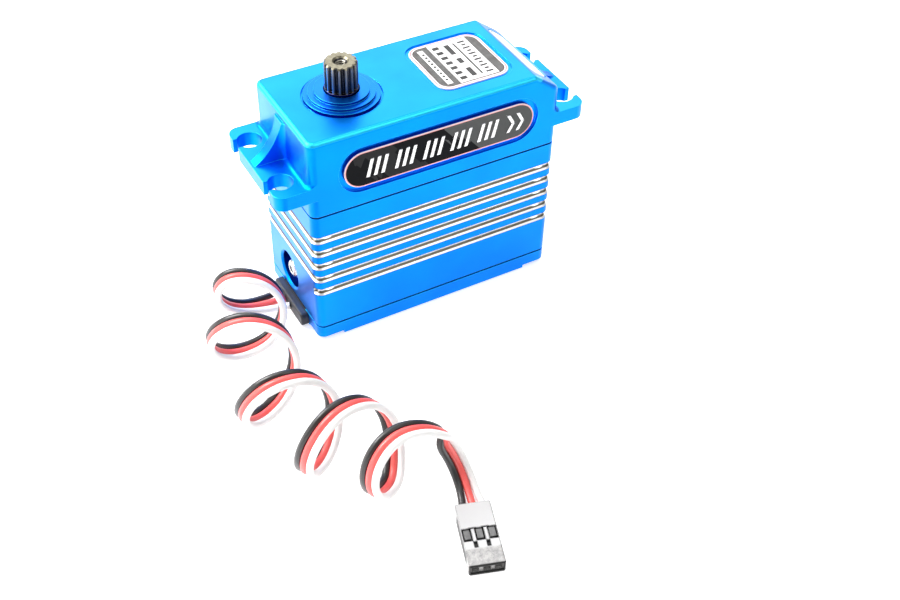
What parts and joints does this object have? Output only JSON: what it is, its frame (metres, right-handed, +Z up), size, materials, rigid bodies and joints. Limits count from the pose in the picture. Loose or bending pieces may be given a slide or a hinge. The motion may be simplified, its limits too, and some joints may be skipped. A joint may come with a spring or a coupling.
{
  "type": "hobby servo motor",
  "caption": "Large metal-cased hobby servo with a splined output shaft, slotted mounting ears and a curled three-wire lead ending in a plug.",
  "frame": {"origin": "centre of the case's base, on the surface it stands on; the curled lead and its plug lie beside it on the same surface", "axes": "+Z up along the output shaft; +X along the case from the output end, where the lead leaves, to the sloped end; +Y across the case to the side away from the curled lead"},
  "size_m": [0.1057, 0.1098, 0.069],
  "materials": {
    "case_blue": "bright anodised",
    "seam_dark": "matte",
    "screw_black": "black oxide",
    "screw_silver": "bright",
    "badge": "gloss with a metallic rose rim",
    "top_label": "gloss with a pale rim",
    "end_label": "satin",
    "shaft_steel": "hardened and ground",
    "gear_steel": "machined",
    "gear_brass": "machined",
    "bearing_steel": "polished",
    "cage_brass": "pressed",
    "seal_rubber": "matte",
    "motor_steel": "plated",
    "cap_plastic": "moulded",
    "bronze": "sintered",
    "magnet": "bare",
    "core_steel": "laminated",
    "copper": "enamelled",
    "carbon": "bare",
    "board_green": "solder mask",
    "chip_black": "moulded",
    "can_silver": "plain",
    "sensor_plastic": "moulded",
    "grommet_rubber": "matte",
    "wire_black": "satin",
    "wire_red": "satin",
    "wire_white": "satin",
    "plug_plastic": "moulded",
    "contact_metal": "gold flash"
  },
  "bodies": {
    "case": {"top_case": "case_blue", "middle_case": "case_blue", "bottom_cover": "case_blue", "upper_gasket": "seam_dark", "lower_gasket": "seam_dark", "case_screws": "screw_black", "port_screw": "screw_silver", "front_badge": "badge", "back_badge": "badge", "top_label": "top_label", "end_label": "end_label", "output_seal": "seal_rubber", "gear_pin": "shaft_steel", "pin_washers": "gear_steel", "upper_bearing_outer_ring": "bearing_steel", "lower_bearing_outer_ring": "bearing_steel", "motor_can": "motor_steel", "motor_end_cap": "cap_plastic", "motor_bushings": "bronze", "motor_magnets": "magnet", "motor_brushes": "carbon", "motor_screws": "screw_silver", "pot_body": "sensor_plastic", "control_board": "board_green", "driver_chips": "chip_black", "processor_chip": "chip_black", "capacitor": "can_silver", "pot_leads": "wire_black", "motor_leads": "wire_red", "lead_cores": "wire_red", "cable_grommet": "grommet_rubber", "lead_exit": "wire_black", "lead_curl": "wire_red", "lead_end": "wire_white", "plug_housing": "plug_plastic", "plug_contacts": "contact_metal"},
    "output": {"output_shaft": "shaft_steel", "output_gear": "gear_steel", "output_spacer": "gear_steel", "upper_bearing_inner_ring": "bearing_steel", "lower_bearing_inner_ring": "bearing_steel", "pot_shaft": "gear_steel", "pot_wiper": "cap_plastic"},
    "third_gear": {"gear_3": "gear_steel"},
    "second_gear": {"gear_2": "gear_steel"},
    "first_gear": {"gear_1": "gear_brass"},
    "rotor": {"motor_shaft": "shaft_steel", "motor_pinion": "gear_steel", "armature_core": "core_steel", "armature_windings": "copper", "commutator": "copper"},
    "upper_ball_set": {"upper_bearing_balls": "bearing_steel", "upper_bearing_cage": "cage_brass"},
    "lower_ball_set": {"lower_bearing_balls": "bearing_steel", "lower_bearing_cage": "cage_brass"}
  },
  "joints": [
    {"name": "motor_turn", "type": "hinge", "parent": "case", "child": "rotor", "pos_m": [0.0121, 0, 0.0262], "axis": [0, 0, 1], "range_deg": [-10880, 10880]},
    {"name": "output_turn", "type": "hinge", "parent": "case", "child": "output", "pos_m": [-0.0175, 0, 0.069], "axis": [0, 0, 1], "range_deg": [-90, 90]},
    {"name": "gear_3_turn", "type": "hinge", "parent": "case", "child": "third_gear", "pos_m": [-0.0015, 0, 0.0504], "axis": [0, 0, 1], "range_deg": [-238, 238]},
    {"name": "gear_2_turn", "type": "hinge", "parent": "case", "child": "second_gear", "pos_m": [-0.0175, 0, 0.0461], "axis": [0, 0, 1], "range_deg": [-626, 626]},
    {"name": "gear_1_turn", "type": "hinge", "parent": "case", "child": "first_gear", "pos_m": [-0.0015, 0, 0.0432], "axis": [0, 0, 1], "range_deg": [-1876, 1876]},
    {"name": "upper_balls_turn", "type": "hinge", "parent": "case", "child": "upper_ball_set", "pos_m": [-0.0175, 0, 0.0575], "axis": [0, 0, 1], "range_deg": [-40, 40]},
    {"name": "lower_balls_turn", "type": "hinge", "parent": "case", "child": "lower_ball_set", "pos_m": [-0.0175, 0, 0.0378], "axis": [0, 0, 1], "range_deg": [-39, 39]}
  ],
  "couplings": [
    {"joint": "output_turn", "follows": "motor_turn", "ratio": 0.0082688},
    {"joint": "gear_3_turn", "follows": "motor_turn", "ratio": -0.021799},
    {"joint": "gear_2_turn", "follows": "motor_turn", "ratio": 0.057471},
    {"joint": "gear_1_turn", "follows": "motor_turn", "ratio": -0.17241},
    {"joint": "upper_balls_turn", "follows": "motor_turn", "ratio": 0.0036458},
    {"joint": "lower_balls_turn", "follows": "motor_turn", "ratio": 0.0035142}
  ]
}
